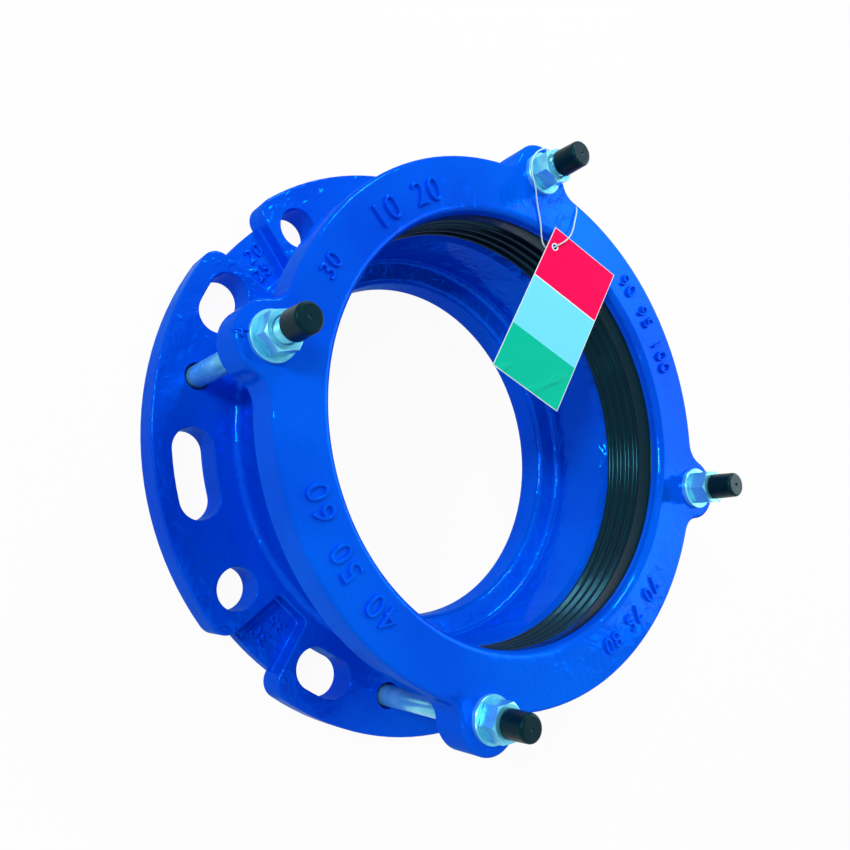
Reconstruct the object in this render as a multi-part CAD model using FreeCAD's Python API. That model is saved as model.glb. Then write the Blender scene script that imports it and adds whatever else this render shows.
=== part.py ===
import FreeCAD, Part
import math
import os
from FreeCAD import Vector, Rotation

# Flange adaptor for a plain-ended pipe. The pipe's axis is +Z, the flange's sealing face lies at z = 0
# and the origin is the centre of that face. All sizes are in millimetres, all angles in degrees.

# Pipe and socket
socket_radius = 115.0
socket_floor_z = 22.0
socket_floor_round = 4.0

# Bore of the flange, its lip and its mouth
bore_step = 13.5
bore_radius = socket_radius - bore_step
lip_thick = 4.0
bore_end_z = socket_floor_z - lip_thick
bore_end_round = 4.0
bore_mouth_round = 5.0

# Fasteners
quadrants = 4
bolt_radius = 6.0
bolt_end_chamfer = 1.0
bolt_standing = 11.5
flange_hole_clearance = 1.5
lug_hole_clearance = 1.0
head_flats = 18.0
head_thick = 7.5
head_cover = 1.0
head_pocket_depth = head_thick + head_cover
head_pocket_clearance = 0.75
hex_corner_angle = 30.0
washer_margin = 6.0
washer_radius = bolt_radius + washer_margin
washer_thick = 2.5
washer_hole_clearance = 0.5
washer_chamfer = 0.4
nut_flats = 18.0
nut_thick = 10.0
nut_thread_clearance = 0.05
nut_mouth_chamfer = 0.8
nut_turns = (14.0, 4.0, 22.0, 48.0)

# Barrel, its collar and the conical seat of the gasket
barrel_wall = 6.5
barrel_radius = socket_radius + barrel_wall
barrel_root_round = 5.0
seat_depth = 16.0
collar_tip_wall = 3.5
collar_tip_round = 1.0
collar_radius = socket_radius + seat_depth + collar_tip_wall

# Gland ring
cavity_clearance = 3.0
cavity_radius = collar_radius + cavity_clearance
cavity_corner = 2.0
ring_wall = 7.5
ring_radius = cavity_radius + ring_wall
ring_edge = 2.0
plate_thick = 6.0
ring_mouth_radius = socket_radius
ring_mouth_round = 4.0
lug_hole_wall = 3.0
bolt_circle_radius = cavity_radius + lug_hole_wall + bolt_radius + lug_hole_clearance
lug_rim = 6.0
lug_radius = washer_radius + lug_rim
lug_root_round = 12.0

# Flange
flange_thick = 17.5
flange_edge = 1.2
bolt_hole_radius = 11.5
hole_edge = 0.8
hole_rim = 11.0
flange_radius = bolt_circle_radius + bolt_hole_radius + hole_rim
round_hole_angle = 45.0
slot_angles = ((15.0, 25.0), (70.0, 75.0))

# Notches in the flange between the bolt holes
notch_angle = 57.5
notch_floor_z = 8.0
notch_floor_cut = 10.0
notch_floor_radius = flange_radius - notch_floor_cut
notch_barrel_gap = 7.5
notch_inner_radius = barrel_radius + notch_barrel_gap
notch_inner_half = 11.3
notch_outer_half = 17.0
notch_corner = 3.5
notch_lobe_round = 10.0
notch_floor_round = 1.5

# Heights along the pipe's axis
barrel_neck = 22.5
flare_start_z = flange_thick + barrel_neck
flare_height = 20.0
flare_end_z = flare_start_z + flare_height
flare_round = 12.0
collar_height = 24.0
collar_top_z = flare_end_z + collar_height
seat_height = 27.4
seat_start_z = collar_top_z - seat_height
ring_overlap = 3.0
ring_rear_z = collar_top_z - ring_overlap
ring_height = 19.0
ring_front_z = ring_rear_z + ring_height
nut_top_z = ring_front_z + washer_thick + nut_thick
bolt_end_z = nut_top_z + bolt_standing

# Gasket
gasket_inner_gap = 0.3
gasket_inner_radius = socket_radius + gasket_inner_gap
gasket_rear_rise = 5.7
gasket_rear_z = seat_start_z + gasket_rear_rise
gasket_seat_gap = 0.1
gasket_front_gap = 0.3
gasket_corner = 1.5
rib_count = 4
rib_pitch = 5.75
rib_flat = 1.4
groove_depth = 2.2
groove_flat = 1.8

# Caps on the ends of the bolts
cap_base_wall = 1.3
cap_base_radius = bolt_radius + cap_base_wall
cap_taper = 0.4
cap_end_radius = cap_base_radius - cap_taper
cap_length = 13.0
cap_end_wall = 2.0
cap_end_round = 1.6
cap_grip_clearance = 0.05
cap_dimple_radius = 1.2
cap_dimple_depth = 0.6
cap_nut_gaps = (0.7, 2.5, 7.0, 1.0)

# Tag
tag_width = 47.0
tag_length = 94.0
tag_thick = 0.6
tag_hole_radius = 1.6
tag_hole_along = 10.7
tag_hole_across = 4.8
tag_corner_inset = 5.8
tag_corner_radius = ring_mouth_radius + tag_corner_inset
tag_corner_angle = 83.7
tag_corner_gap = 0.3
tag_heading = -107.4
tag_dip = 5.0
tag_roll = 6.0

# String of the tag, its route round the upper bolt, and its knot
string_radius = 0.4
string_bend_share = 0.45
knot_radius = 1.1
knot_end_radius = 0.7
string_route = [
    (9.4, 161.4, 101.2),
    (14.4, 159.0, 101.2),
    (17.9, 153.4, 100.8),
    (21.7, 147.2, 100.5),
    (25.6, 142.2, 100.5),
    (28.0, 136.6, 100.5),
    (27.6, 130.2, 100.9),
    (25.9, 123.8, 102.0),
    (23.2, 117.9, 103.0),
    (19.8, 113.4, 103.3),
    (17.2, 110.8, 102.6),
    (12.2, 106.3, 98.0),
    (7.8, 107.6, 97.9),
    (4.6, 111.6, 99.2),
    (2.0, 117.2, 100.5),
    (0.0, 122.4, 100.5),
    (-2.6, 128.4, 100.5),
    (-8.0, 133.0, 100.5),
    (-14.0, 138.2, 100.5),
    (-17.0, 145.4, 100.5),
    (-15.4, 153.0, 100.5),
    (-9.8, 160.8, 100.5),
    (-3.6, 164.0, 100.8),
    (1.9, 165.0, 101.2),
    (6.9, 162.6, 101.2),
]

# Construction: how far a cutting tool runs past what it cuts, and how near counts as the same place
overrun = 1.0
tolerance = 0.0001


def polar(radius, angle, z=0.0):
    """Point at a radius and an angle from +X."""
    return Vector(radius * math.cos(math.radians(angle)), radius * math.sin(math.radians(angle)), z)


def unit(vector):
    return Vector(vector).normalize()


def line(start, end):
    return Part.LineSegment(start, end).toShape()


def arc(start, middle, end):
    return Part.Arc(start, middle, end).toShape()


def turned(shape, angle):
    """Copy of a shape turned about the pipe's axis."""
    copy = shape.copy()
    copy.rotate(Vector(0, 0, 0), Vector(0, 0, 1), angle)
    return copy


def quarter_copies(shape):
    return [turned(shape, index * 360.0 / quadrants) for index in range(quadrants)]


def rounded_profile(corners):
    """Closed edges through (x, y, rounding) corners, with a tangent arc at each rounded corner."""
    count = len(corners)
    places = [Vector(x, y, 0) for x, y, rounding in corners]
    spans = []
    for index, here in enumerate(places):
        rounding = corners[index][2]
        back = unit(places[index - 1] - here)
        ahead = unit(places[(index + 1) % count] - here)
        half = back.getAngle(ahead) / 2
        inward = unit(back + ahead)
        centre = here + inward * (rounding / math.sin(half))
        reach = rounding / math.tan(half)
        spans.append((here + back * reach, centre - inward * rounding, here + ahead * reach))
    edges = []
    for index, (start, middle, end) in enumerate(spans):
        next_start = spans[(index + 1) % count][0]
        if corners[index][2] > 0:
            edges.append(arc(start, middle, end))
        if end.distanceToPoint(next_start) > tolerance:
            edges.append(line(end, next_start))
    return edges


def prism(edges, bottom_z, top_z):
    face = Part.Face(Part.Wire(edges))
    face.translate(Vector(0, 0, bottom_z))
    return face.extrude(Vector(0, 0, top_z - bottom_z))


def revolved(corners):
    """Solid of revolution about Z from (radius, z, rounding) corners."""
    face = Part.Face(Part.Wire(rounded_profile(corners)))
    face.rotate(Vector(0, 0, 0), Vector(1, 0, 0), 90)
    return face.revolve(Vector(0, 0, 0), Vector(0, 0, 1), 360)


def cylinder(radius, bottom_z, top_z):
    return Part.makeCylinder(radius, top_z - bottom_z, Vector(0, 0, bottom_z))


def hexagon(flats, bottom_z, top_z):
    points = [polar(flats / math.sqrt(3), 60 * index) for index in range(6)]
    return prism([line(points[index - 1], points[index]) for index in range(6)], bottom_z, top_z)


def hex_blank(flats, bottom_z, top_z, bottom_cut, top_cut):
    """Hexagon whose corners are turned off at the ends that are cut, as on a bolt head or a nut."""
    corner = flats / math.sqrt(3)
    drop = (corner - flats / 2) * math.tan(math.radians(hex_corner_angle))
    envelope = [(0, bottom_z, 0)]
    if bottom_cut:
        envelope += [(flats / 2, bottom_z, 0), (corner, bottom_z + drop, 0)]
    else:
        envelope += [(corner, bottom_z, 0)]
    if top_cut:
        envelope += [(corner, top_z - drop, 0), (flats / 2, top_z, 0)]
    else:
        envelope += [(corner, top_z, 0)]
    envelope += [(0, top_z, 0)]
    return hexagon(flats, bottom_z, top_z).common(revolved(envelope))


def reach_of(edge):
    """Distance of an edge's middle from the pipe's axis."""
    middle = edge.valueAt((edge.FirstParameter + edge.LastParameter) / 2)
    return math.hypot(middle.x, middle.y)


def edges_in_plane(shape, z, least_reach=0.0, most_reach=math.inf):
    """Edges that lie at height z, with their middles between two distances from the axis."""
    found = []
    for edge in shape.Edges:
        box = edge.BoundBox
        level = abs(box.ZMin - z) < tolerance and abs(box.ZMax - z) < tolerance
        if level and least_reach < reach_of(edge) < most_reach:
            found.append(edge)
    return found


def new_edges(before, after, z):
    """Edges at height z that a cut has added."""
    known = [edge.CenterOfMass for edge in edges_in_plane(before, z)]
    added = []
    for edge in edges_in_plane(after, z):
        if all(edge.CenterOfMass.distanceToPoint(centre) > tolerance for centre in known):
            added.append(edge)
    return added


def only_solid(shape):
    """The one solid of a cut or a rounding, with faces that run on in one surface joined."""
    return shape.removeSplitter().Solids[0]


def slot_outline(start_angle, end_angle):
    """Slot along the bolt circle, with round ends of the bolt hole's radius."""
    inner = bolt_circle_radius - bolt_hole_radius
    outer = bolt_circle_radius + bolt_hole_radius
    middle_angle = (start_angle + end_angle) / 2
    start_tip = polar(bolt_circle_radius, start_angle) + polar(bolt_hole_radius, start_angle - 90)
    end_tip = polar(bolt_circle_radius, end_angle) + polar(bolt_hole_radius, end_angle + 90)
    return [
        arc(polar(outer, start_angle), polar(outer, middle_angle), polar(outer, end_angle)),
        arc(polar(outer, end_angle), end_tip, polar(inner, end_angle)),
        arc(polar(inner, end_angle), polar(inner, middle_angle), polar(inner, start_angle)),
        arc(polar(inner, start_angle), start_tip, polar(outer, start_angle)),
    ]


def notch_wall(side):
    """One wall of a notch that lies along +X: its corner on the floor's rim and its direction outwards."""
    inner = Vector(notch_inner_radius, side * notch_inner_half, 0)
    depth = math.sqrt(notch_floor_radius ** 2 - notch_outer_half ** 2)
    corner = Vector(depth, side * notch_outer_half, 0)
    return corner, unit(corner - inner)


def notch_lobe(side):
    """Where a notch's wall rounds into the flange's rim: end on the wall, middle, end on the rim."""
    corner, along = notch_wall(side)
    into_lobe = Vector(-along.y * side, along.x * side, 0)
    start = corner + into_lobe * notch_lobe_round
    reach = flange_radius - notch_lobe_round
    shift = start.dot(along)
    centre = start + along * (math.sqrt(shift ** 2 - start.dot(start) + reach ** 2) - shift)
    outward = unit(centre)
    middle = centre + unit(outward - into_lobe) * notch_lobe_round
    return centre - into_lobe * notch_lobe_round, middle, outward * flange_radius


def flange_outline():
    """The flange's rim with its notches, counter-clockwise."""
    low = (notch_wall(-1)[0],) + notch_lobe(-1)
    high = (notch_wall(1)[0],) + notch_lobe(1)
    step = 360.0 / quadrants
    edges = []
    for index in range(quadrants):
        turn = Rotation(Vector(0, 0, 1), notch_angle + index * step)
        next_turn = Rotation(Vector(0, 0, 1), notch_angle + (index + 1) * step)
        low_corner, low_wall, low_middle, low_rim = [turn.multVec(point) for point in low]
        high_corner, high_wall, high_middle, high_rim = [turn.multVec(point) for point in high]
        next_rim = next_turn.multVec(low[3])
        edges.append(arc(low_rim, low_middle, low_wall))
        edges.append(line(low_wall, low_corner))
        edges.append(arc(low_corner, polar(notch_floor_radius, notch_angle + index * step), high_corner))
        edges.append(line(high_corner, high_wall))
        edges.append(arc(high_wall, high_middle, high_rim))
        edges.append(arc(high_rim, unit(high_rim + next_rim) * flange_radius, next_rim))
    return edges


def notch_pocket():
    """The shallow part of a notch, above its floor."""
    wall_end = (flange_radius - notch_floor_radius) / 2
    corners = []
    for side in (-1, 1):
        corner, along = notch_wall(side)
        end = corner + along * wall_end
        wall = [(notch_inner_radius, side * notch_inner_half, notch_corner), (end.x, end.y, 0)]
        corners += wall if side < 0 else wall[::-1]
    pocket = prism(rounded_profile(corners), notch_floor_z, flange_thick + overrun)
    floor_edges = edges_in_plane(pocket, notch_floor_z, most_reach=notch_floor_radius)
    return turned(pocket.makeFillet(notch_floor_round, floor_edges), notch_angle)


def seat_radius(z):
    """Radius of the conical seat of the gasket at height z."""
    seat_end = collar_radius - collar_tip_wall
    return socket_radius + (seat_end - socket_radius) * (z - seat_start_z) / (collar_top_z - seat_start_z)


def make_flange_body():
    plate = prism(flange_outline(), 0, flange_thick)
    plate = only_solid(plate.cut(quarter_copies(notch_pocket())))
    plate = only_solid(plate.makeFillet(flange_edge, edges_in_plane(plate, flange_thick)))
    rear_rim = edges_in_plane(plate, 0, least_reach=notch_floor_radius + flange_edge)
    plate = only_solid(plate.makeFillet(flange_edge, rear_rim))

    holes = quarter_copies(Part.makeCylinder(bolt_hole_radius, flange_thick,
                                             polar(bolt_circle_radius, round_hole_angle)))
    for start_angle, end_angle in slot_angles:
        holes += quarter_copies(prism(slot_outline(start_angle, end_angle), 0, flange_thick))
    drilled = only_solid(plate.cut(holes))
    plate = only_solid(drilled.makeFillet(hole_edge, new_edges(plate, drilled, flange_thick)))

    shank_hole = cylinder(bolt_radius + flange_hole_clearance, 0, flange_thick)
    pocket = hexagon(head_flats + 2 * head_pocket_clearance, 0, head_pocket_depth)
    bolt_seat = shank_hole.fuse(pocket)
    bolt_seat.translate(Vector(bolt_circle_radius, 0, 0))
    plate = plate.cut(quarter_copies(bolt_seat))

    mid_z = flange_thick / 2
    barrel = revolved([
        (bore_radius, mid_z, 0),
        (barrel_radius + barrel_root_round, mid_z, 0),
        (barrel_radius + barrel_root_round, flange_thick, 0),
        (barrel_radius, flange_thick, barrel_root_round),
        (barrel_radius, flare_start_z, flare_round),
        (collar_radius, flare_end_z, flare_round),
        (collar_radius, collar_top_z, collar_tip_round),
        (seat_radius(collar_top_z), collar_top_z, collar_tip_round),
        (socket_radius, seat_start_z, 0),
        (bore_radius, seat_start_z, 0),
    ])
    bore = revolved([
        (0, -bore_mouth_round, 0),
        (bore_radius + bore_mouth_round, -bore_mouth_round, 0),
        (bore_radius + bore_mouth_round, 0, 0),
        (bore_radius, 0, bore_mouth_round),
        (bore_radius, bore_end_z, bore_end_round),
        (socket_radius, socket_floor_z, socket_floor_round),
        (socket_radius, seat_start_z + overrun, 0),
        (0, seat_start_z + overrun, 0),
    ])
    return only_solid(plate.fuse(barrel).cut(bore))


def make_gasket():
    front_z = ring_front_z - plate_thick - gasket_front_gap
    groove_radius = gasket_inner_radius + groove_depth
    slope_height = (rib_pitch - rib_flat - groove_flat) / 2
    corners = [
        (gasket_inner_radius, gasket_rear_z, 0),
        (seat_radius(gasket_rear_z) - gasket_seat_gap, gasket_rear_z, 0),
        (seat_radius(collar_top_z) - gasket_seat_gap, collar_top_z, 0),
        (seat_radius(collar_top_z) - gasket_seat_gap, front_z, gasket_corner),
        (gasket_inner_radius, front_z, gasket_corner / 2),
    ]
    for index in reversed(range(rib_count)):
        crest_z = gasket_rear_z + index * rib_pitch + rib_flat
        corners += [
            (gasket_inner_radius, crest_z + groove_flat + 2 * slope_height, 0),
            (groove_radius, crest_z + groove_flat + slope_height, 0),
            (groove_radius, crest_z + slope_height, 0),
            (gasket_inner_radius, crest_z, 0),
        ]
    return revolved(corners)


def ring_outline():
    """The ring's edge with its lugs, each joined by two hollow roundings."""
    ring_side = ring_radius + lug_root_round
    lug_side = lug_radius + lug_root_round
    cosine = (bolt_circle_radius ** 2 + ring_side ** 2 - lug_side ** 2) / (2 * bolt_circle_radius * ring_side)
    root_angle = math.degrees(math.acos(cosine))
    step = 360.0 / quadrants
    edges = []
    for index in range(quadrants):
        angle = index * step
        lug_centre = polar(bolt_circle_radius, angle)
        low_centre = polar(ring_side, angle - root_angle)
        high_centre = polar(ring_side, angle + root_angle)
        low_start = polar(ring_radius, angle - root_angle)
        high_end = polar(ring_radius, angle + root_angle)
        low_end = lug_centre + unit(low_centre - lug_centre) * lug_radius
        high_start = lug_centre + unit(high_centre - lug_centre) * lug_radius
        low_middle = low_centre - unit(unit(low_centre) + unit(low_centre - lug_centre)) * lug_root_round
        high_middle = high_centre - unit(unit(high_centre) + unit(high_centre - lug_centre)) * lug_root_round
        edges.append(arc(low_start, low_middle, low_end))
        edges.append(arc(low_end, polar(bolt_circle_radius + lug_radius, angle), high_start))
        edges.append(arc(high_start, high_middle, high_end))
        next_start = polar(ring_radius, angle + step - root_angle)
        edges.append(arc(high_end, polar(ring_radius, angle + step / 2), next_start))
    return edges


def make_gland_ring():
    ring = prism(ring_outline(), ring_rear_z, ring_front_z)
    ring = ring.makeFillet(ring_edge, edges_in_plane(ring, ring_front_z))
    plate_rear_z = ring_front_z - plate_thick
    cavity = revolved([
        (0, ring_rear_z - overrun, 0),
        (cavity_radius, ring_rear_z - overrun, 0),
        (cavity_radius, plate_rear_z, cavity_corner),
        (ring_mouth_radius, plate_rear_z, 0),
        (ring_mouth_radius, ring_front_z, ring_mouth_round),
        (ring_mouth_radius + ring_mouth_round, ring_front_z, 0),
        (ring_mouth_radius + ring_mouth_round, ring_front_z + overrun, 0),
        (0, ring_front_z + overrun, 0),
    ])
    hole = cylinder(bolt_radius + lug_hole_clearance, ring_rear_z, ring_front_z)
    hole.translate(Vector(bolt_circle_radius, 0, 0))
    return only_solid(ring.cut([cavity] + quarter_copies(hole)))


def make_tie_bolt():
    head = hex_blank(head_flats, head_pocket_depth - head_thick, head_pocket_depth, True, False)
    shank = revolved([
        (0, head_pocket_depth - head_thick / 2, 0),
        (bolt_radius, head_pocket_depth - head_thick / 2, 0),
        (bolt_radius, bolt_end_z - bolt_end_chamfer, 0),
        (bolt_radius - bolt_end_chamfer, bolt_end_z, 0),
        (0, bolt_end_z, 0),
    ])
    return head.fuse(shank)


def make_washer():
    hole_radius = bolt_radius + washer_hole_clearance
    top_z = ring_front_z + washer_thick
    return revolved([
        (hole_radius, ring_front_z, 0),
        (washer_radius, ring_front_z, 0),
        (washer_radius, top_z - washer_chamfer, 0),
        (washer_radius - washer_chamfer, top_z, 0),
        (hole_radius, top_z, 0),
    ])


def make_nut():
    bottom_z = nut_top_z - nut_thick
    top_z = nut_top_z
    thread_radius = bolt_radius + nut_thread_clearance
    mouth_radius = thread_radius + nut_mouth_chamfer
    bore = revolved([
        (0, bottom_z, 0),
        (mouth_radius, bottom_z, 0),
        (thread_radius, bottom_z + nut_mouth_chamfer, 0),
        (thread_radius, top_z - nut_mouth_chamfer, 0),
        (mouth_radius, top_z, 0),
        (0, top_z, 0),
    ])
    return hex_blank(nut_flats, bottom_z, top_z, True, True).cut(bore)


def make_end_cap(base_z):
    end_z = base_z + cap_length
    grip_radius = bolt_radius + cap_grip_clearance
    return revolved([
        (grip_radius, base_z, 0),
        (cap_base_radius, base_z, 0),
        (cap_end_radius, end_z, cap_end_round),
        (cap_dimple_radius, end_z, 0),
        (0, end_z - cap_dimple_depth, 0),
        (0, end_z - cap_end_wall, 0),
        (grip_radius, end_z - cap_end_wall, 0),
    ])


def make_tag():
    """The card rests on the edge of the ring's mouth near its tied corner, and hangs over the opening."""
    card = Part.makeBox(tag_length, tag_width, tag_thick)
    hole = Part.makeCylinder(tag_hole_radius, tag_thick, Vector(tag_hole_along, tag_hole_across, 0))
    card = card.cut(hole)
    card.rotate(Vector(0, 0, 0), Vector(1, 0, 0), tag_roll)
    card.rotate(Vector(0, 0, 0), Vector(0, 1, 0), tag_dip)
    card.rotate(Vector(0, 0, 0), Vector(0, 0, 1), tag_heading)
    card.translate(polar(tag_corner_radius, tag_corner_angle, ring_front_z + tag_corner_gap))
    return card


def string_wire(points):
    """Straight runs joined by tangent arcs, each as large as its two runs allow."""
    edges = []
    radii = []
    start = points[0]
    for before, here, after in zip(points, points[1:], points[2:]):
        back = unit(before - here)
        ahead = unit(after - here)
        half_turn = (math.pi - back.getAngle(ahead)) / 2
        reach = string_bend_share * min(before.distanceToPoint(here), here.distanceToPoint(after))
        radius = reach / math.tan(half_turn)
        inward = unit(back + ahead)
        middle = here + inward * (radius / math.cos(half_turn) - radius)
        edges.append(line(start, here + back * reach))
        edges.append(arc(here + back * reach, middle, here + ahead * reach))
        radii.append(radius)
        start = here + ahead * reach
    edges.append(line(start, points[-1]))
    return Part.Wire(edges), radii


def make_tag_string():
    points = [Vector(*point) for point in string_route]
    wire, radii = string_wire(points)
    circle = Part.Circle(points[0], points[1] - points[0], string_radius).toShape()
    string = wire.makePipeShell([Part.Wire([circle])], True, False)
    section = math.pi * string_radius ** 2
    print("string radii", ", ".join(f"{radius:.1f}" for radius in radii))
    print(f"string length {wire.Length:.1f}, volume {string.Volume:.2f}, section x length {section * wire.Length:.2f}")
    return string


def make_string_knot():
    """A small overhand knot, as a barrel between the string's two ends."""
    first = Vector(*string_route[0])
    last = Vector(*string_route[-1])
    length = first.distanceToPoint(last)
    knot = revolved([
        (0, 0, 0),
        (knot_end_radius, 0, 0),
        (knot_radius, length / 4, knot_end_radius),
        (knot_radius, length * 3 / 4, knot_end_radius),
        (knot_end_radius, length, 0),
        (0, length, 0),
    ])
    knot.Placement = FreeCAD.Placement(last, Rotation(Vector(0, 0, 1), first - last))
    return knot


def save(name, shape):
    shape.exportStep(f"parts/{name}.step")
    print(f"{name}: {len(shape.Solids)} solid, valid {shape.isValid()}, volume {shape.Volume:.1f}")


os.makedirs("parts", exist_ok=True)
save("flange_body", make_flange_body())
save("gland_ring", make_gland_ring())
save("gasket", make_gasket())
save("tag", make_tag())
save("tag_string", make_tag_string())
save("string_knot", make_string_knot())
for number in range(quadrants):
    bolt_angle = number * 360.0 / quadrants
    pieces = {
        "tie_bolt": make_tie_bolt(),
        "washer": make_washer(),
        "nut": turned(make_nut(), nut_turns[number]),
        "end_cap": make_end_cap(nut_top_z + cap_nut_gaps[number]),
    }
    for name, piece in pieces.items():
        piece.translate(Vector(bolt_circle_radius, 0, 0))
        save(f"{name}_{number + 1}", turned(piece, bolt_angle))
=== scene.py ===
import math
import bmesh
import bpy
from mathutils import Matrix, Vector


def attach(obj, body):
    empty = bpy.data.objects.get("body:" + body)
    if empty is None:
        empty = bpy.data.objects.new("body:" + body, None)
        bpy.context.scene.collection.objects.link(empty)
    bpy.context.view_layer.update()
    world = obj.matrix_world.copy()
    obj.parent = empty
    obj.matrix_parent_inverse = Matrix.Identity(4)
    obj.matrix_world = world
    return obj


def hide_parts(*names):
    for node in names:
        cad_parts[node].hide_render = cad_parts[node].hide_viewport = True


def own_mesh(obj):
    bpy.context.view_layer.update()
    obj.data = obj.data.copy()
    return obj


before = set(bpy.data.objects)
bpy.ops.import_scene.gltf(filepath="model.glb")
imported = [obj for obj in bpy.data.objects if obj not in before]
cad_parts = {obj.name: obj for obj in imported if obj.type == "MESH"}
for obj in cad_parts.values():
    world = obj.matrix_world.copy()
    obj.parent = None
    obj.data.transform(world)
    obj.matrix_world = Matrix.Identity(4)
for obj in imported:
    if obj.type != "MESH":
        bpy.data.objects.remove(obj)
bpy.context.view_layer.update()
scene = bpy.context.scene
scene.view_settings.view_transform = "Standard"
mm = 0.001  # pieces are given in mm and degrees, the camera, lamps, patterns and bumps in metres
numbers = (1, 2, 3, 4)
boltTurns = {1: 0, 2: 90, 3: 180, 4: 270}  # degrees about the pipe's axis
print("frame loaded")


# camera, looking down at the adaptor as it stands on its flange
view = {
    "place": (-0.2852, -0.1250, 0.3952),
    "lookAt": (-0.0979, -0.0339, 0.05),
    "roll": 76.33,
    "lens": 33.66,
    "shift": (0.147, 0.034),
    "nearest": 0.01,
}


def makeCamera(settings):
    data = bpy.data.cameras.new("camera")
    data.lens = settings["lens"]
    data.shift_x, data.shift_y = settings["shift"]
    data.clip_start = settings["nearest"]
    camera = bpy.data.objects.new("camera", data)
    scene.collection.objects.link(camera)
    place = Vector(settings["place"])
    aim = (Vector(settings["lookAt"]) - place).to_track_quat("-Z", "Y").to_matrix()
    roll = Matrix.Rotation(math.radians(settings["roll"]), 3, "Z")
    camera.matrix_world = Matrix.Translation(place) @ (aim @ roll).to_4x4()
    scene.camera = camera


makeCamera(view)
print("camera placed")


# a shader socket that adds Math nodes to its tree when it is used in a sum
class Wire:
    def __init__(self, wiring, socket):
        self.wiring = wiring
        self.socket = socket

    def other(self, output):
        # another output of the same node
        return Wire(self.wiring, self.socket.node.outputs[output])

    def maths(self, operation, first, second):
        return self.wiring.add("ShaderNodeMath", {"operation": operation}, {0: first, 1: second})

    def __add__(self, other):
        return self.maths("ADD", self, other)

    def __sub__(self, other):
        return self.maths("SUBTRACT", self, other)

    def __rsub__(self, other):
        return self.maths("SUBTRACT", other, self)

    def __mul__(self, other):
        return self.maths("MULTIPLY", self, other)

    def __truediv__(self, other):
        return self.maths("DIVIDE", self, other)

    def __gt__(self, other):
        return self.maths("GREATER_THAN", self, other)

    def __lt__(self, other):
        return self.maths("LESS_THAN", self, other)

    __radd__ = __add__
    __rmul__ = __mul__


# a node tree, and the method that adds any node to it
class Wiring:
    def __init__(self, tree):
        self.tree = tree

    def add(self, kind, settings=None, inputs=None, output=0):
        node = self.tree.nodes.new(kind)
        for name, value in (settings or {}).items():
            if name == "stops":
                self.setStops(node.color_ramp, value)
            else:
                setattr(node, name, value)
        for name, value in (inputs or {}).items():
            if isinstance(value, Wire):
                self.tree.links.new(value.socket, node.inputs[name])
            else:
                node.inputs[name].default_value = value
        return Wire(self, node.outputs[output])

    def setStops(self, ramp, stops):
        while len(ramp.elements) < len(stops):
            ramp.elements.new(1.0)
        for element, (place, level) in zip(ramp.elements, stops):
            element.position = place
            element.color = (level, level, level, 1)

    def seenPlainly(self):
        # 1 for rays from the camera, and for those that reach it by gloss or through glass
        path = self.add("ShaderNodeLightPath", output="Is Camera Ray")
        return path + path.other("Is Glossy Ray") + path.other("Is Transmission Ray")

    def surface(self, output, share, first, second):
        # the tree's output shows a mix of two shaders
        mixed = self.add("ShaderNodeMixShader", None, {"Fac": share, 1: first, 2: second})
        self.tree.links.new(mixed.socket, self.tree.nodes[output].inputs["Surface"])


# one material with its shader
class Finish(Wiring):
    def __init__(self, name, constants):
        self.material = bpy.data.materials.new(name)
        self.material.use_nodes = True
        super().__init__(self.material.node_tree)
        self.shader = self.tree.nodes["Principled BSDF"]
        for socket, value in constants.items():
            self.shader.inputs[socket].default_value = value

    def feed(self, values):
        for socket, wire in values.items():
            self.tree.links.new(wire.socket, self.shader.inputs[socket])

    def place(self):
        return self.add("ShaderNodeTexCoord", output="Object")

    def turnedPlace(self, move=(0, 0, 0), turn=(0, 0, 0), scale=(1, 1, 1)):
        inputs = {"Vector": self.place(), "Location": move, "Rotation": turn, "Scale": scale}
        return self.add("ShaderNodeMapping", {"vector_type": "TEXTURE"}, inputs)

    def noise(self, scale, detail=2.0, roughness=0.5, distortion=0.0, vector=None):
        inputs = {"Vector": vector or self.place(), "Scale": scale, "Detail": detail,
                  "Roughness": roughness, "Distortion": distortion}
        return self.add("ShaderNodeTexNoise", None, inputs)

    def ramp(self, value, stops):
        return self.add("ShaderNodeValToRGB", {"stops": stops}, {"Fac": value})

    def blend(self, factor, first, second):
        settings = {"data_type": "RGBA", "clamp_factor": True}
        inputs = {"Factor": factor, "A": first, "B": second}
        return self.add("ShaderNodeMix", settings, inputs, output="Result")

    def bump(self, height, distance, strength=1.0, under=None):
        inputs = {"Height": height, "Distance": distance, "Strength": strength}
        if under:
            inputs["Normal"] = under
        return self.add("ShaderNodeBump", None, inputs)


# finishes: each noise is its scale, detail, roughness and distortion, each bump its distance and
# strength, and each set of stops the places and levels of a ramp

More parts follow.
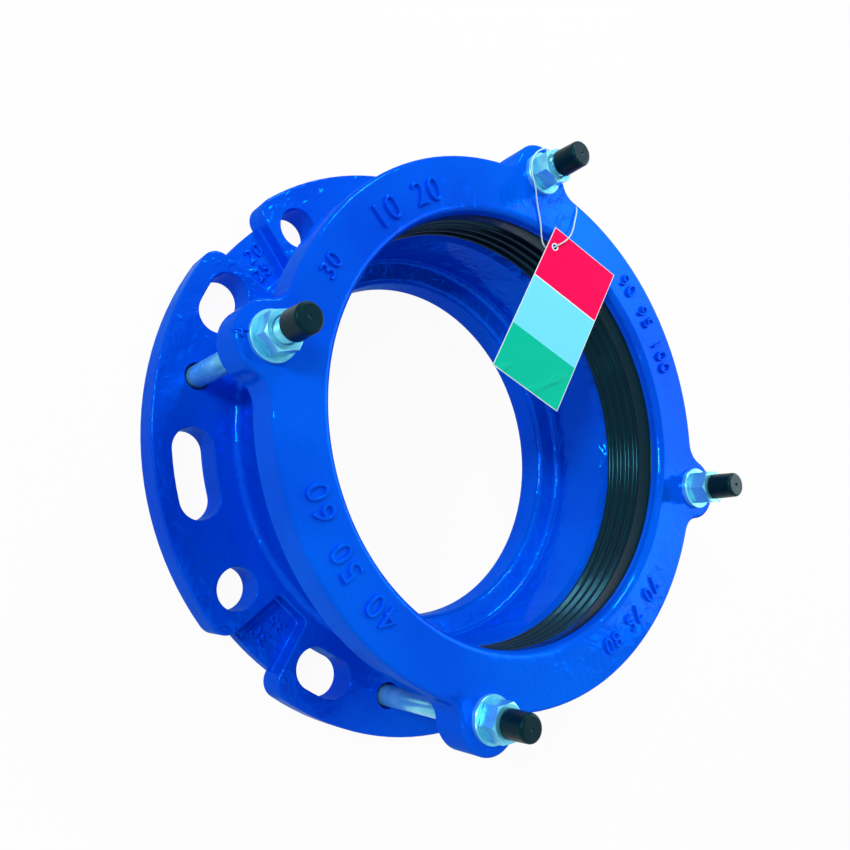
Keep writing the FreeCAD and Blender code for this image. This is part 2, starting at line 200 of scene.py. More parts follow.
paint = {
    "deep": (0.0, 0.034, 0.56, 1),
    "bright": (0.0, 0.150, 0.95, 1),
    # one epoxy in two copies: the flange's copy is painted darker as painted shade and the ring's
    # lighter as painted light
    "flangeShadedDepth": 0.16,  # the least share of the bright colour
    "ringLitDepth": 0.22,
    "pooling": 0.5,
    "roughness": 0.04,
    "unevenness": 0.10,
    "flake": 0.26,
    "coat": 0.05,
    "coatRoughness": 0.03,
    "ior": 1.5,
    "shine": 0.0,
    "tint": (0.10, 0.60, 1.0, 1),
    "pools": (9.0, 3.0),
    "poolStops": ((0.32, 0.0), (0.70, 1.0)),
    "waves": (26.0, 2.0),
    "patches": (14.0, 2.0),
    "patchStops": ((0.56, 0.0), (0.64, 1.0)),
    "patchShare": 0.30,
    "rough": (1.0, 3.0, 0.55),
    "roughTurn": (0, 0, 0.4),
    "roughSize": (0.0030, 0.0075, 0.0075),
    "runs": (120.0, 2.0, 0.5, 0.8),
    "peel": (620.0, 1.0),
    "nibScale": 130.0,
    "nibStops": ((0.0, 1.0), (0.075, 0.0)),
    "castingBump": (0.0030, 0.5),
    "flangeRunBump": (0.0017, 0.5),
    "ringRunBump": (0.0009, 0.5),
    "peelBump": (0.00003, 0.6),
    "nibBump": (0.00015, 0.7),
}


def epoxyPaint(name, settings, depth, runBump):
    # glossy epoxy on a casting: slow waves and rough patches of the casting, then runs, orange
    # peel and nibs in the coat
    finish = Finish(name, {"Coat Weight": settings["coat"], "IOR": settings["ior"],
                           "Coat Roughness": settings["coatRoughness"],
                           "Metallic": settings["flake"], "Specular IOR Level": settings["shine"],
                           "Specular Tint": settings["tint"]})
    waves = finish.noise(*settings["waves"])
    pools = finish.ramp(finish.noise(*settings["pools"]), settings["poolStops"])
    peel = finish.noise(*settings["peel"])
    runs = finish.noise(*settings["runs"])
    cells = finish.add("ShaderNodeTexVoronoi", {"feature": "F1"},
                       {"Vector": finish.place(), "Scale": settings["nibScale"]}, output="Distance")
    nibs = finish.ramp(cells, settings["nibStops"])
    patches = finish.ramp(finish.noise(*settings["patches"]), settings["patchStops"])
    turned = finish.turnedPlace(turn=settings["roughTurn"], scale=settings["roughSize"])
    rough = finish.noise(*settings["rough"], vector=turned)
    surface = waves + patches * rough * settings["patchShare"]
    casting = finish.bump(surface, *settings["castingBump"])
    coat = finish.bump(runs, *runBump, casting)
    skin = finish.bump(peel, *settings["peelBump"], coat)
    # depth is the copy's least share of the bright colour, painted light on the ring and painted
    # shade on the flange; the pools are random
    bright = pools * settings["pooling"] + depth
    finish.feed({
        "Base Color": finish.blend(bright, settings["deep"], settings["bright"]),
        "Roughness": runs * settings["unevenness"] + settings["roughness"],
        "Normal": finish.bump(nibs, *settings["nibBump"], skin),
    })
    return finish.material


zinc = {
    "light": (0.20, 0.72, 0.92, 1),
    "dull": (0.09, 0.48, 0.70, 1),
    "metal": 0.58,
    "roughness": 0.13,
    "unevenness": 0.10,
    "dullness": 0.14,
    "clouds": (90.0, 2.0, 0.5),
    "cloudStops": ((0.35, 0.0), (0.68, 1.0)),
    "grain": (2600.0, 2.0),
    "marks": (1.0, 3.0, 0.7),
    "markSize": (0.02, 0.02, 0.0006),
    "grainBump": (0.000004, 0.5),
    "markBump": (0.00001, 0.5),
}


def zincPlate(name, settings):
    # bright zinc plating, clouded and slightly dulled, with fine turning marks
    finish = Finish(name, {"Metallic": settings["metal"]})
    clouds = finish.ramp(finish.noise(*settings["clouds"]), settings["cloudStops"])
    grain = finish.noise(*settings["grain"])
    marks = finish.noise(*settings["marks"], vector=finish.turnedPlace(scale=settings["markSize"]))
    even = grain * settings["unevenness"] + settings["roughness"]
    finish.feed({
        "Base Color": finish.blend(clouds, settings["dull"], settings["light"]),
        "Roughness": even + (1 - clouds) * settings["dullness"],
        "Normal": finish.bump(marks, *settings["markBump"],
                              finish.bump(grain, *settings["grainBump"])),
    })
    return finish.material


rubber = {
    "dark": (0.0005, 0.005, 0.010, 1),
    "worn": (0.002, 0.013, 0.022, 1),
    "roughness": 0.12,
    "unevenness": 0.14,
    "ior": 1.5,
    "shine": 0.32,
    "tint": (0.12, 0.70, 1.0, 1),
    "clouds": (70.0, 4.0, 0.6),
    "grain": (1900.0, 2.0),
    "cloudBump": (0.0003, 0.5),
    "grainBump": (0.00001, 0.5),
}

capPlastic = {
    "dark": (0.0005, 0.006, 0.011, 1),
    "worn": (0.002, 0.016, 0.024, 1),
    "roughness": 0.25,
    "unevenness": 0.18,
    "ior": 1.5,
    "shine": 0.16,
    "tint": (0.10, 0.75, 1.0, 1),
    "clouds": (240.0, 3.0, 0.6),
    "grain": (3200.0, 2.0),
    "cloudBump": (0.00025, 0.5),
    "grainBump": (0.00002, 0.6),
}


def mouldedBlack(name, settings):
    # black rubber or soft plastic with a moulded sheen, dulled in clouds by handling
    finish = Finish(name, {"IOR": settings["ior"], "Specular IOR Level": settings["shine"],
                           "Specular Tint": settings["tint"]})
    clouds = finish.noise(*settings["clouds"])
    grain = finish.noise(*settings["grain"])
    finish.feed({
        "Base Color": finish.blend(clouds, settings["dark"], settings["worn"]),
        "Roughness": clouds * settings["unevenness"] + settings["roughness"],
        "Normal": finish.bump(grain, *settings["grainBump"],
                              finish.bump(clouds, *settings["cloudBump"])),
    })
    return finish.material


# the same epoxy twice, darker on the flange and lighter on the ring, as painted shade and painted
# light
flangeShadedPaint = epoxyPaint("blue epoxy on the flange, with painted shade", paint, paint["flangeShadedDepth"],
                         paint["flangeRunBump"])
ringLitPaint = epoxyPaint("blue epoxy on the ring, with painted light", paint, paint["ringLitDepth"], paint["ringRunBump"])
boltZinc = zincPlate("zinc plate", zinc)
gasketRubber = mouldedBlack("gasket rubber", rubber)
capBlack = mouldedBlack("cap plastic", capPlastic)
print("finishes made")


# CAD pieces whose shape is right keep it and take a finish

def dress(node, material):
    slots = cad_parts[node].data.materials
    slots.clear()
    slots.append(material)


dress("flange_body", flangeShadedPaint)
dress("gland_ring", ringLitPaint)
for number in numbers:
    dress(f"washer_{number}", boltZinc)
    dress(f"nut_{number}", boltZinc)
    dress(f"end_cap_{number}", capBlack)
print("castings, washers, nuts and caps dressed")


# the tag's string: its route from the knot round the upper bolt and through the tag's hole

string = {
    "diameter": 0.0008,  # this and the length in metres
    "length": 0.1539,
    "roundness": 3,
    "fineness": 12,
    "route": (
        (9.4, 161.4, 101.2), (12.2, 160.1, 101.1), (15.2, 159.2, 99.6), (18.0, 156.6, 96.0),
        (21.0, 152.2, 94.0), (24.4, 147.4, 93.8), (27.4, 143.6, 95.6), (29.2, 140.2, 99.9),
        (28.4, 135.0, 101.1), (27.4, 129.6, 101.1), (25.9, 123.8, 102.0), (23.2, 117.9, 103.0),
        (19.8, 113.4, 103.3), (17.2, 110.8, 102.6), (12.2, 106.3, 98.0), (7.8, 107.6, 97.9),
        (4.6, 111.6, 99.2), (2.4, 116.6, 100.5), (0.6, 121.6, 100.6), (-1.4, 126.4, 100.7),
        (-3.6, 131.0, 101.4), (-6.8, 135.6, 103.2), (-10.0, 141.0, 103.3), (-11.9, 147.5, 103.3),
        (-10.0, 154.6, 103.3), (-4.8, 160.4, 103.2), (1.6, 164.4, 101.6), (6.9, 162.6, 101.2),
    ),
    "pale": (0.62, 0.80, 0.84, 1),
    "shade": (0.40, 0.58, 0.64, 1),
    "roughness": 0.7,
    "fibres": (2400.0, 3.0, 0.6),
    "fibreBump": (0.0001, 0.8),
}


def twistedString(name, settings):
    finish = Finish(name, {"Roughness": settings["roughness"]})
    fibres = finish.noise(*settings["fibres"])
    finish.feed({
        "Base Color": finish.blend(fibres, settings["shade"], settings["pale"]),
        "Normal": finish.bump(fibres, *settings["fibreBump"]),
    })
    return finish.material


def stringCurve(name, settings):
    curve = bpy.data.curves.new(name, "CURVE")
    curve.dimensions = "3D"
    curve.bevel_depth = settings["diameter"] / 2
    curve.bevel_resolution = settings["roundness"]
    curve.resolution_u = settings["fineness"]
    curve.use_fill_caps = True
    line = curve.splines.new("NURBS")
    line.points.add(len(settings["route"]) - 1)
    for point, place in zip(line.points, settings["route"]):
        point.co = (place[0] * mm, place[1] * mm, place[2] * mm, 1)
    line.order_u = 3
    line.use_endpoint_u = True
    cord = bpy.data.objects.new(name, curve)
    scene.collection.objects.link(cord)
    return cord


stringFibre = twistedString("string fibre", string)
tagString = stringCurve("tag_loop", string)
tagString.data.materials.append(stringFibre)
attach(tagString, "gland")
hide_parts("tag_string")
print("string laid")


# small helpers for the pieces that are modelled here

def newPiece(name, bm, body, material, replaced=None):
    # the mesh of bm as an object at the origin, riding on its body
    mesh = bpy.data.meshes.new(name)
    bm.to_mesh(mesh)
    bm.free()
    mesh.materials.append(material)
    piece = bpy.data.objects.new(name, mesh)
    scene.collection.objects.link(piece)
    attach(piece, body)
    if replaced:
        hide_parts(replaced)
    return piece


def smoothen(bm, sharpest):
    # smooth shading, with edges sharper than this many degrees kept hard
    for face in bm.faces:
        face.smooth = True
    for edge in bm.edges:
        edge.smooth = len(edge.link_faces) == 2 and edge.calc_face_angle() < math.radians(sharpest)


def spinOutline(bm, outline, steps, closed=False):
    # a full turn about the z axis of a line through points given by radius and height
    points = [bm.verts.new((radius * mm, 0, level * mm)) for radius, level in outline]
    following = points[1:] + points[:1] if closed else points[1:]
    line = [bm.edges.new(pair) for pair in zip(points, following)]
    bmesh.ops.spin(bm, geom=points + line, cent=(0, 0, 0), axis=(0, 0, 1), angle=math.tau,
                   steps=steps, use_merge=True, use_duplicate=False)


def onCircle(angle, radius, height):
    # a place at this angle and distance from the pipe's axis
    turn = math.radians(angle)
    return Vector((radius * math.cos(turn), radius * math.sin(turn), height)) * mm


def extent(points):
    # the lowest and highest corners of the box round the points
    return [[pick(point[axis] for point in points) for axis in range(3)] for pick in (min, max)]


# the gasket: four ribs inside and a conical back

gasket = {
    "inner": 115.3,
    "groove": 117.5,
    "rear": 62.3,
    "front": 93.7,
    "rearSeat": 118.2285,
    "topSeat": 130.9,
    "collarTop": 84.0,
    "ribs": 4,
    "pitch": 5.75,
    "ribFlat": 1.4,
    "grooveFlat": 1.8,
    "outerRound": 1.5,
    "innerRound": 0.75,
    "ribRound": 0.6,
    "roundSteps": 3,
    "draw": 8.0,
    "steps": 144,
    "sharpest": 35,
}


def hoops(bm, radius, level, within=0.01):
    # the edges of the circle at this radius and height, in mm
    return [edge for edge in bm.edges
            if all(abs(vert.co.xy.length / mm - radius) < within
                   and abs(vert.co.z / mm - level) < within for vert in edge.verts)]


def makeGasket(settings):
    inner, groove, rear, front = (settings[key] for key in ("inner", "groove", "rear", "front"))
    topSeat, flat, ribRound = (settings[key] for key in ("topSeat", "grooveFlat", "ribRound"))
    slope = (settings["pitch"] - settings["ribFlat"] - flat) / 2
    ribs = []
    for index in reversed(range(settings["ribs"])):
        crest = rear + index * settings["pitch"] + settings["ribFlat"]
        ribs += [(inner, crest + flat + 2 * slope), (groove, crest + flat + slope),
                 (groove, crest + slope), (inner, crest)]
    outline = [(inner, rear), (settings["rearSeat"], rear), (topSeat, settings["collarTop"]),
               (topSeat, front), (inner, front)] + ribs
    bm = bmesh.new()
    spinOutline(bm, outline, settings["steps"], closed=True)
    rounds = [(topSeat, front, settings["outerRound"]), (inner, front, settings["innerRound"]),
              (inner, rear, ribRound)]
    rounds += [(radius, level, ribRound) for radius, level in ribs]
    for radius, level, width in rounds:
        bmesh.ops.bevel(bm, geom=hoops(bm, radius, level), offset=width * mm, profile=0.5,
                        segments=settings["roundSteps"], affect="EDGES", material=-1)
    bmesh.ops.recalc_face_normals(bm, faces=bm.faces)
    smoothen(bm, settings["sharpest"])
    return bm


ribbedGasket = newPiece("ribbed_gasket", makeGasket(gasket), "body", gasketRubber,
                        "gasket")
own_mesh(ribbedGasket)
print("gasket moulded")


# tie bolts: hexagon head in its pocket, plain shank, and a rolled thread for the nut

tieBolt = {
    "circle": 147.5,
    "flats": 18.0,
    "headBottom": 1.0,
    "headTop": 8.5,
    "headEdge": 0.9,
    "headDish": 0.35,
    "overlap": 1.0,  # how far the shank starts inside the head
    "radius": 5.98,
    "core": 5.12,
    "runIn": 1.0,
    "point": (0.7, 0.6),  # the end's chamfer, inwards and along the bolt
    "steps": 32,
    "pitch": 1.75,
    "threadStart": 68.0,
    "threadStop": 1.2,  # short of the bolt's end
    "ridgeRoot": 0.15,  # how deep the ridge is rooted in the core
    "ridge": (0.44, 0.07),  # half its width at root and crest, in pitches
    "end": 124.0,
    "stepsPerTurn": 24,
    "weld": 0.01,
    "sharpest": 28,
}


def hexHead(bm, settings):
    rise = (settings["headTop"] - settings["headBottom"]) * mm
    radius = settings["flats"] / math.sqrt(3) * mm
    head = bmesh.ops.create_cone(bm, cap_ends=True, segments=6, radius1=radius, radius2=radius,
                                 depth=rise)
    bmesh.ops.translate(bm, verts=head["verts"], vec=(0, 0, settings["headBottom"] * mm + rise / 2))
    low = [face for face in bm.faces if face.normal.z < -0.9]
    bmesh.ops.inset_region(bm, faces=low, thickness=settings["headEdge"] * mm,
                           depth=settings["headDish"] * mm)


def shank(bm, settings):
    radius, core, start, end = (settings[key] for key in ("radius", "core", "threadStart", "end"))
    bottom = settings["headTop"] - settings["overlap"]
    inwards, back = settings["point"]
    outline = ((0.0, bottom), (radius, bottom), (radius, start), (core, start + settings["runIn"]),
               (core, end - back), (core - inwards, end), (0.0, end))
    spinOutline(bm, outline, settings["steps"])


def thread(bm, settings):
    # one ridge carried round and up along the shank
    pitch, crest = settings["pitch"] * mm, settings["radius"] * mm
    root = (settings["core"] - settings["ridgeRoot"]) * mm
    start = settings["threadStart"] * mm
    steps = settings["stepsPerTurn"]
    length = settings["end"] - settings["threadStop"] - settings["threadStart"]
    turns = length / settings["pitch"] - 1
    wide, narrow = settings["ridge"]
    shape = ((root, -wide), (crest, -narrow), (crest, narrow), (root, wide))
    points = [bm.verts.new((reach, 0, start + (share + 0.5) * pitch)) for reach, share in shape]
    ridge = bm.faces.new(points)
    bmesh.ops.spin(bm, geom=[ridge], cent=(0, 0, 0), axis=(0, 0, 1), dvec=(0, 0, pitch / steps),
                   angle=math.tau * turns, steps=round(steps * turns), use_duplicate=False)


def makeTieBolt(angle, settings):
    bm = bmesh.new()
    hexHead(bm, settings)
    shank(bm, settings)
    bmesh.ops.remove_doubles(bm, verts=bm.verts, dist=settings["weld"] * mm)
    thread(bm, settings)
    bmesh.ops.recalc_face_normals(bm, faces=bm.faces)
    smoothen(bm, settings["sharpest"])
    turn = Matrix.Rotation(math.radians(angle), 4, "Z")
    place = turn @ Matrix.Translation((settings["circle"] * mm, 0, 0))
    bmesh.ops.transform(bm, matrix=place, verts=bm.verts)
    return bm


for number in numbers:
    newPiece(f"bolt_{number}", makeTieBolt(boltTurns[number], tieBolt), "body", boltZinc,
             f"tie_bolt_{number}")
print("tie bolts threaded")


# the tag: a printed card in three plain bands, with a hole at its tied corner

tag = {
    "width": 47.0,
    "length": 94.0,
    "thick": 0.5,
    "cell": 2.0,
    "hole": 1.6,
    "holePlace": (10.7, 4.8),
    "holeCells": (1.5, 3.2),  # cells taken out round the hole, and those whose edges close in on it
    "inside": 0.1,  # nearer to the card's edge than this isn't the hole's border
    "sharpest": 40,
    "corner": (120.8, 83.7, 100.35),  # radius, angle and height of its corner
    "roll": 6.0,
    "dip": 5.0,
    "heading": -107.4,
    "redEnd": 33.0,
    "paleEnd": 65.8,
    "border": 0.32,
    "seam": (-0.1, 0.5),
    "rim": 0.6,
    "skin": 0.12,
    "ior": 1.5,
    "shine": 0.03,
    "roughness": 0.36,
    "unevenness": 0.12,
    "red": (0.95, 0.0, 0.085, 1),
    "pale": (0.15, 0.66, 0.92, 1),
    "green": (0.0, 0.46, 0.30, 1),
    "paper": (0.72, 0.86, 0.90, 1),
    "wobble": (900.0, 2.0),
    "wobbleReach": 0.3,
    "clouds": (45.0, 3.0),
    "fading": 0.006,
    "fibres": (1500.0, 3.0, 0.6),
    "fibreBump": (0.00002, 0.6),
    "creases": (1.0, 1.0, 0.4),
    "creaseTurn": 42,
    "creaseSize": (0.040, 0.010, 1.0),
    "creaseStops": ((0.52, 0.0), (0.62, 1.0), (0.72, 0.0)),
    "creasedEnd": ((0.68, 0.0), (0.80, 1.0)),  # in 100 mm along the card
    "unevenPaper": 0.3,
    "creaseBump": (0.0010, 0.6),
}


def tagMatrix(settings):
    radius, angle, height = settings["corner"]
    matrix = Matrix.Translation(onCircle(angle, radius, height))
    for key, axis in (("heading", "Z"), ("dip", "Y"), ("roll", "X")):
        matrix = matrix @ Matrix.Rotation(math.radians(settings[key]), 4, axis)
    return matrix


def printedCard(name, settings):
    # bands across the card, a pale border at its edges, fibres in the paper and soft creases near
    # the free end
    finish = Finish(name, {"IOR": settings["ior"], "Specular IOR Level": settings["shine"]})
    turns = tuple(math.radians(settings[key]) for key in ("roll", "dip", "heading"))
    radius, angle, height = settings["corner"]
    place = finish.turnedPlace(tuple(onCircle(angle, radius, height)), turns)
    along = finish.add("ShaderNodeSeparateXYZ", None, {"Vector": place}, output="X")
    across = along.other("Y") / mm
    above = along.other("Z") / mm
    along = along / mm
    clouds = finish.noise(*settings["clouds"])
    uneven = along + finish.noise(*settings["wobble"]) * settings["wobbleReach"]
    tone = finish.blend(uneven < settings["redEnd"], settings["pale"], settings["red"])
    tone = finish.blend(uneven > settings["paleEnd"], tone, settings["green"])
    tone = finish.blend(clouds * settings["fading"], tone, settings["paper"])
    border, skin = settings["border"], settings["skin"]
    edge = (along < border) + (along > settings["length"] - border)
    edge = edge + (across < border) + (across > settings["width"] - border)
    seamStart, seamEnd = (settings["redEnd"] + reach for reach in settings["seam"])
    seam = (along > seamStart) * (along < seamEnd)
    face = (above > settings["thick"] - skin) + (above < skin)
    holeX, holeY = settings["holePlace"]
    holeTop = (holeX * mm, holeY * mm, settings["thick"] * mm)
    spot = finish.add("ShaderNodeVectorMath", {"operation": "DISTANCE"}, {0: place, 1: holeTop},
                      output="Value")
    rim = spot < (settings["hole"] + settings["rim"]) * mm
    bare = edge + seam + rim + (1 - face)
    fibres = finish.noise(*settings["fibres"])
    folded = finish.turnedPlace(turn=(0, 0, math.radians(settings["creaseTurn"])),
                                scale=settings["creaseSize"])
    creases = finish.noise(*settings["creases"], vector=folded)
    creases = finish.ramp(creases, settings["creaseStops"])
    folds = creases * finish.ramp(along / 100, settings["creasedEnd"])
    relief = folds + clouds * settings["unevenPaper"]
    finish.feed({
        "Base Color": finish.blend(bare, tone, settings["paper"]),
        "Roughness": fibres * settings["unevenness"] + settings["roughness"],
        "Normal": finish.bump(fibres, *settings["fibreBump"],
                              finish.bump(relief, *settings["creaseBump"])),
    })
    return finish.material


def makeTag(settings):
    bm = bmesh.new()
    cell = settings["cell"]
    length, width, thick = (settings[key] * mm for key in ("length", "width", "thick"))
    columns, rows = (round(settings[key] / cell) for key in ("length", "width"))
    bmesh.ops.create_grid(bm, x_segments=columns, y_segments=rows, size=0.5)
    bmesh.ops.translate(bm, verts=bm.verts, vec=(0.5, 0.5, 0))
    bmesh.ops.scale(bm, verts=bm.verts, vec=(length, width, 1))
    centre = Vector((settings["holePlace"][0] * mm, settings["holePlace"][1] * mm, 0))
    taken, reach = (cells * cell * mm for cells in settings["holeCells"])
    near = [face for face in bm.faces if (face.calc_center_median() - centre).length < taken]
    bmesh.ops.delete(bm, geom=near, context="FACES")
    border = [edge for edge in bm.edges if len(edge.link_faces) == 1
              and all((vert.co - centre).length < reach and vert.co.y > settings["inside"] * mm
                      for vert in edge.verts)]
    inner = bmesh.ops.extrude_edge_only(bm, edges=border)
    for vert in inner["geom"]:
        if isinstance(vert, bmesh.types.BMVert):
            vert.co = centre + (vert.co - centre).normalized() * settings["hole"] * mm
    bmesh.ops.recalc_face_normals(bm, faces=bm.faces)
    bmesh.ops.solidify(bm, geom=bm.faces[:], thickness=thick)
    bmesh.ops.recalc_face_normals(bm, faces=bm.faces)
    low = min(vert.co.z for vert in bm.verts)
    bmesh.ops.translate(bm, verts=bm.verts, vec=(0, 0, -low))
    smoothen(bm, settings["sharpest"])
    bmesh.ops.transform(bm, matrix=tagMatrix(settings), verts=bm.verts)
    return bm


newPiece("tag_card", makeTag(tag), "gland", printedCard("printed card", tag), "tag")
print("tag made")


# the knot: the two ends of the string wound round each other and drawn tight

knot = {
    "coil": 0.62,
    "turns": 3,
    "steps": 20,
    "threadSides": 10,
    "coreSides": 12,
    "sharpest": 50,
}


def makeKnot(settings, cord):
    first, last = (Vector(cord["route"][index]) * mm for index in (0, -1))
    axis = first - last
    thread = cord["diameter"] / 2
    upright = Matrix.Rotation(math.radians(90), 4, "X")
    bm = bmesh.new()
    for turn in range(settings["turns"]):
        ring = bmesh.ops.create_circle(bm, cap_ends=False, segments=settings["threadSides"],
                                       radius=thread)
        level = axis.length * (turn + 0.5) / settings["turns"]
        place = Matrix.Translation((settings["coil"] * mm, 0, level))
        bmesh.ops.transform(bm, matrix=place @ upright, verts=ring["verts"])
        hoop = list({edge for vert in ring["verts"] for edge in vert.link_edges})
        bmesh.ops.spin(bm, geom=ring["verts"] + hoop, cent=(0, 0, 0), axis=(0, 0, 1),
                       angle=math.tau, steps=settings["steps"], use_merge=True, use_duplicate=False)
    core = bmesh.ops.create_cone(bm, cap_ends=True, segments=settings["coreSides"], radius1=thread,
                                 radius2=thread, depth=axis.length)
    bmesh.ops.translate(bm, verts=core["verts"], vec=(0, 0, axis.length / 2))
    bmesh.ops.recalc_face_normals(bm, faces=bm.faces)
    smoothen(bm, settings["sharpest"])
    turned = axis.to_track_quat("Z", "Y").to_matrix().to_4x4()
    bmesh.ops.transform(bm, matrix=Matrix.Translation(last) @ turned, verts=bm.verts)
    return bm


stringKnot = newPiece("string_twist", makeKnot(knot, string), "gland", stringFibre,
                      "string_knot")
print("knot tied")


# raised numbers on the castings, as plain as those on a dial

marks = {
    "raise": 0.8,
    "sunk": 0.5,
    "edge": 0.4,
    "edgeSteps": 2,
    "spacing": 0.80,
    "curveSteps": 5,
    "share": 0.70,  # of the font's size that a figure's height takes
    "weld": 0.005,
    "sharpest": 45,
    "ringFace": 100.0,
    "ring": (
        # text, angle of its middle, radius, height of the figures
        ("10 20", 133.7, 128.5, 12.8),
        ("30", 161.0, 132.0, 9.0),
        ("40 50 60", 223.5, 129.5, 12.2),
        ("70 75 80", 319.0, 130.0, 9.2),
        ("90 95 100", 43.5, 131.5, 9.2),
    ),
    "notchFloor": 8.0,
    "notch": (
        ("10", 56.5, 150.5, 8.0), ("15", 58.0, 139.5, 7.5), ("20", 146.5, 150.5, 8.0),
        ("25", 148.0, 139.5, 7.5), ("30", 236.5, 150.5, 8.0), ("35", 238.0, 139.5, 7.5),
        ("40", 326.5, 150.5, 8.0), ("45", 328.0, 139.5, 7.5),
    ),
}

lugMark = {
    "text": "4",
    "bolt": 3,
    "direction": 190.0,  # about that bolt
    "past": 0.0,  # how far past the flat its middle lies
    "height": 8.5,
    "sunk": 0.6,
    "flat": 16.0,  # the lug's face is flat to here
    "round": 2.0,
    "top": 100.0,
}


def raisedFigure(letter, height, settings):
    # one figure as a mesh, lying flat with its middle at the origin
    curve = bpy.data.curves.new("figure", "FONT")
    curve.body = letter
    curve.size = height / settings["share"] * mm
    curve.extrude = (settings["raise"] + settings["sunk"]) / 2 * mm
    curve.bevel_depth = settings["edge"] * mm
    curve.bevel_resolution = settings["edgeSteps"]
    curve.offset = -settings["edge"] * mm
    curve.resolution_u = settings["curveSteps"]
    lettered = bpy.data.objects.new("figure", curve)
    mesh = bpy.data.meshes.new_from_object(lettered)
    bpy.data.objects.remove(lettered)
    return mesh


def raisedText(bm, text, angle, radius, height, floor, settings):
    # figures along a circle, read clockwise with their tops outwards
    step = math.degrees(height * settings["spacing"] / radius)
    for place, letter in enumerate(text):
        if letter == " ":
            continue
        mesh = raisedFigure(letter, height, settings)
        low, high = extent([vert.co for vert in mesh.vertices])
        middle = Matrix.Translation([-(least + most) / 2 for least, most in zip(low, high)])
        turn = angle + ((len(text) - 1) / 2 - place) * step
        lift = floor * mm + (high[2] - low[2]) / 2 - settings["sunk"] * mm
        centre = Matrix.Translation(onCircle(turn, radius, 0) + Vector((0, 0, lift)))
        mesh.transform(centre @ Matrix.Rotation(math.radians(turn - 90), 4, "Z") @ middle)
        bm.from_mesh(mesh)
        bpy.data.meshes.remove(mesh)


def lugFigure(bm, lug, settings):
    # a figure that runs out along a lug's face, over its rounded rim and down its side
    flat, bend = lug["flat"], lug["round"]
    quarter = bend * math.pi / 2
    middle = onCircle(boltTurns[lug["bolt"]], tieBolt["circle"], 0)
    mesh = raisedFigure(lug["text"], lug["height"], settings)
    corners = [vert.co / mm for vert in mesh.vertices]
    low, high = extent(corners)
    for vert, corner in zip(mesh.vertices, corners):
        path = corner.y - (low[1] + high[1]) / 2 + lug["past"]
        lean = max(0.0, min(path / bend, math.pi / 2))
        above = bend + corner.z - low[2] - lug["sunk"]
        out = flat + min(path, 0.0) + above * math.sin(lean)
        level = lug["top"] - bend + above * math.cos(lean) - max(path - quarter, 0.0)
        across = corner.x - (low[0] + high[0]) / 2
        turn = lug["direction"] - math.degrees(across / (flat + bend))
        vert.co = middle + onCircle(turn, out, level)
    bm.from_mesh(mesh)
    bpy.data.meshes.remove(mesh)


def makeMarks(places, floor, settings, lug=None):
    bm = bmesh.new()
    for text, angle, radius, height in places:
        raisedText(bm, text, angle, radius, height, floor, settings)
    if lug:
        lugFigure(bm, lug, settings)
    bmesh.ops.remove_doubles(bm, verts=bm.verts, dist=settings["weld"] * mm)
    bmesh.ops.recalc_face_normals(bm, faces=bm.faces)
    smoothen(bm, settings["sharpest"])
    return bm


ringMarks = makeMarks(marks["ring"], marks["ringFace"], marks, lugMark)
notchMarks = makeMarks(marks["notch"], marks["notchFloor"], marks)
newPiece("ring_figures", ringMarks, "gland", ringLitPaint)
newPiece("notch_figures", notchMarks, "body", flangeShadedPaint)
print("raised figures set")


# floor, light and backdrop

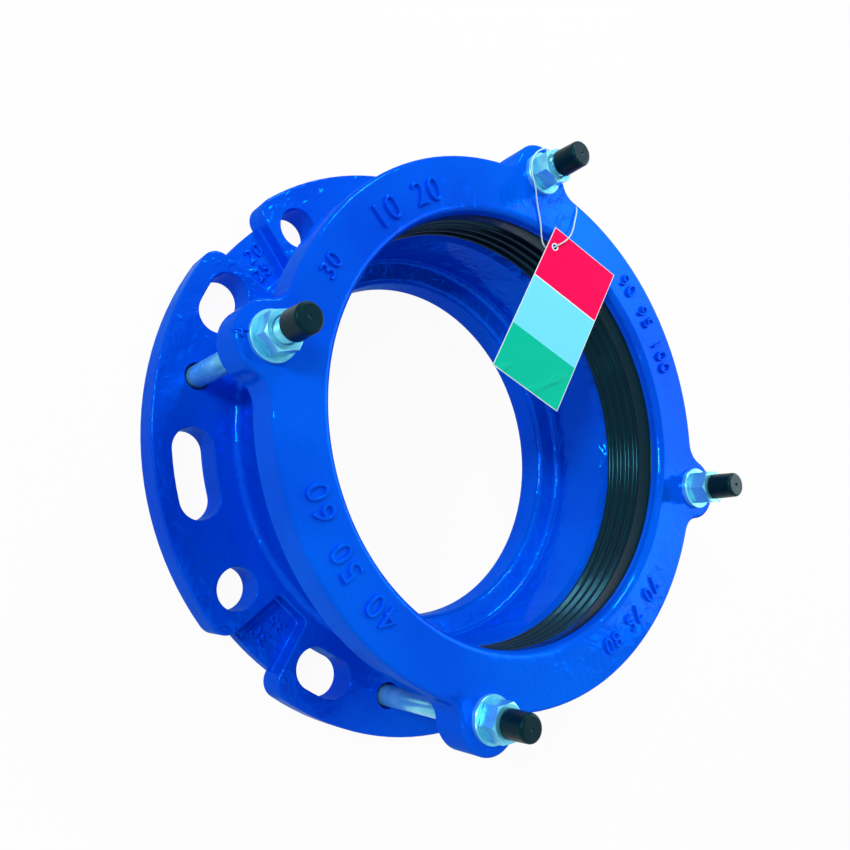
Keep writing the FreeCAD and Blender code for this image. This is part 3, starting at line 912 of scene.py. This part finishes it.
studio = {
    "floor": (0.66, 0.68, 0.70, 1),
    "floorRoughness": 0.9,
    "floorSize": 6.0,
    "floorLevel": -0.0002,
    "shadowless": 0.95,
    "sky": (1.0, 1.0, 1.0, 1),
    "backdrop": 1.0,
    "world": 0.28,
    "aim": (0, 0, 0.05),
    "lamps": (
        # name, place, size, power, colour
        ("key", (-2.20, 0.32, 1.70), 0.45, 38.0, (1.0, 0.99, 0.97)),
        ("fill", (0.25, -0.95, 0.80), 0.9, 0.8, (0.92, 0.97, 1.0)),
        ("far", (0.04, 0.75, 0.72), 0.20, 3.6, (0.94, 0.98, 1.0)),
        ("low", (1.69, 0.75, 0.91), 1.30, 17.0, (0.94, 0.98, 1.0)),
        ("glint left", (-0.60, 0.16, 0.95), 0.045, 1.7, (1.0, 1.0, 1.0)),
        ("glint front", (-0.55, -0.60, 0.75), 0.035, 0.7, (1.0, 1.0, 1.0)),
        ("glint back", (-0.15, 0.75, 0.55), 0.035, 0.6, (1.0, 1.0, 1.0)),
    ),
}


def makeFloor(settings):
    bm = bmesh.new()
    bmesh.ops.create_grid(bm, x_segments=1, y_segments=1, size=settings["floorSize"])
    bmesh.ops.translate(bm, verts=bm.verts, vec=(0, 0, settings["floorLevel"]))
    mesh = bpy.data.meshes.new("floor")
    bm.to_mesh(mesh)
    bm.free()
    floor = bpy.data.objects.new("floor", mesh)
    scene.collection.objects.link(floor)
    # white as the backdrop where it is seen, and a pale floor that keeps a little of the shadow
    finish = Finish("floor", {"Base Color": settings["floor"],
                              "Roughness": settings["floorRoughness"]})
    white = {"Color": settings["sky"], "Strength": settings["backdrop"]}
    glow = finish.add("ShaderNodeEmission", None, white)
    lit = Wire(finish, finish.shader.outputs["BSDF"])
    share = finish.seenPlainly() * settings["shadowless"]
    finish.surface("Material Output", share, lit, glow)
    mesh.materials.append(finish.material)


def makeWorld(settings):
    world = bpy.data.worlds.new("studio")
    world.use_nodes = True
    scene.world = world
    wiring = Wiring(world.node_tree)
    light, plain = (wiring.add("ShaderNodeBackground", None,
                               {"Color": settings["sky"], "Strength": settings[key]})
                    for key in ("world", "backdrop"))
    wiring.surface("World Output", wiring.seenPlainly(), light, plain)


def makeLamps(settings):
    for name, place, size, power, colour in settings["lamps"]:
        data = bpy.data.lights.new(name, "AREA")
        data.size = size
        data.energy = power
        data.color = colour
        lamp = bpy.data.objects.new(name, data)
        scene.collection.objects.link(lamp)
        away = Vector(place) - Vector(settings["aim"])
        turn = away.to_track_quat("Z", "Y").to_matrix().to_4x4()
        lamp.matrix_world = Matrix.Translation(place) @ turn


makeFloor(studio)
makeWorld(studio)
makeLamps(studio)
print("stage and light set")
